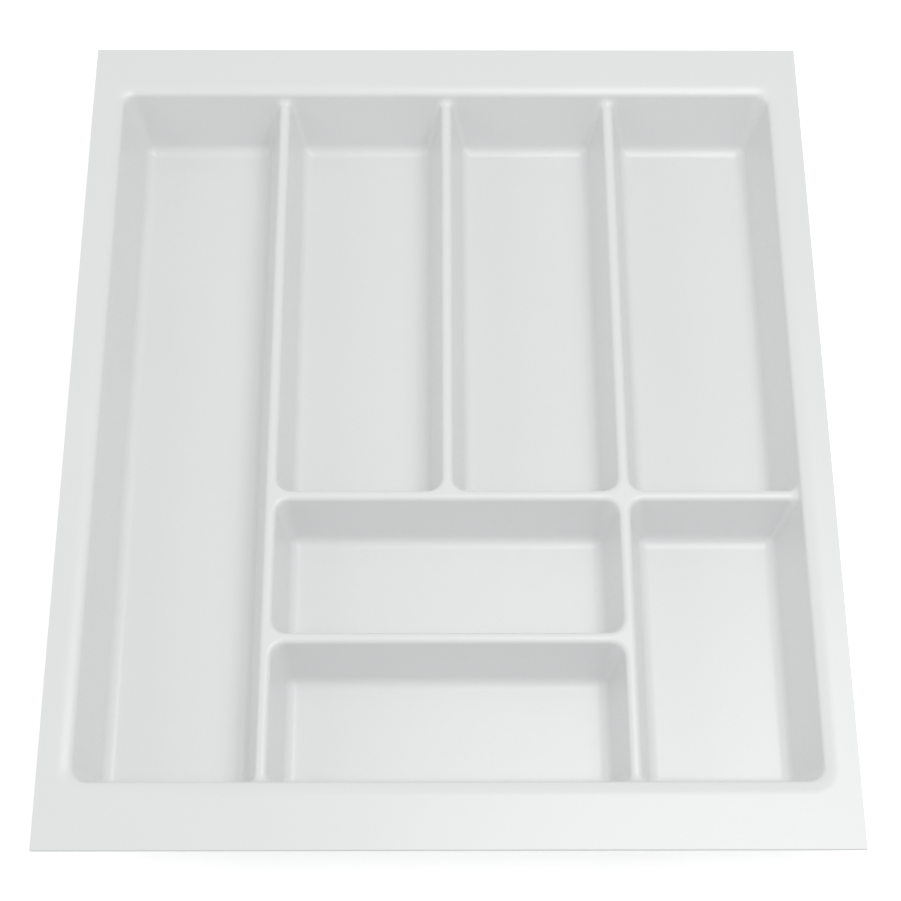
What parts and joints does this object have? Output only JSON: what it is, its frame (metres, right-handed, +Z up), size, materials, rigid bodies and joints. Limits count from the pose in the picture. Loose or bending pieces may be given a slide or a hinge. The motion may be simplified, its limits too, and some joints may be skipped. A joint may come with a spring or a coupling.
{
  "type": "cutlery tray",
  "caption": "White plastic drawer insert with a flat rim and leaning-walled wells of different lengths, for keeping cutlery and kitchen tools apart.",
  "frame": {"origin": "on the drawer floor, under the middle of the tray's outline", "axes": "+X to the right as seen from the front of the drawer, +Y to the back of the drawer, +Z up"},
  "size_m": [0.411, 0.49, 0.045],
  "materials": {
    "white_plastic": "satin white with a very fine grain"
  },
  "bodies": {
    "root": {"rim_back": "white_plastic", "rim_front": "white_plastic", "rim_left": "white_plastic", "rim_right": "white_plastic", "long_well": "white_plastic", "back_left_well": "white_plastic", "back_middle_well": "white_plastic", "back_right_well": "white_plastic", "middle_cross_well": "white_plastic", "front_cross_well": "white_plastic", "front_right_well": "white_plastic"}
  },
  "joints": []
}
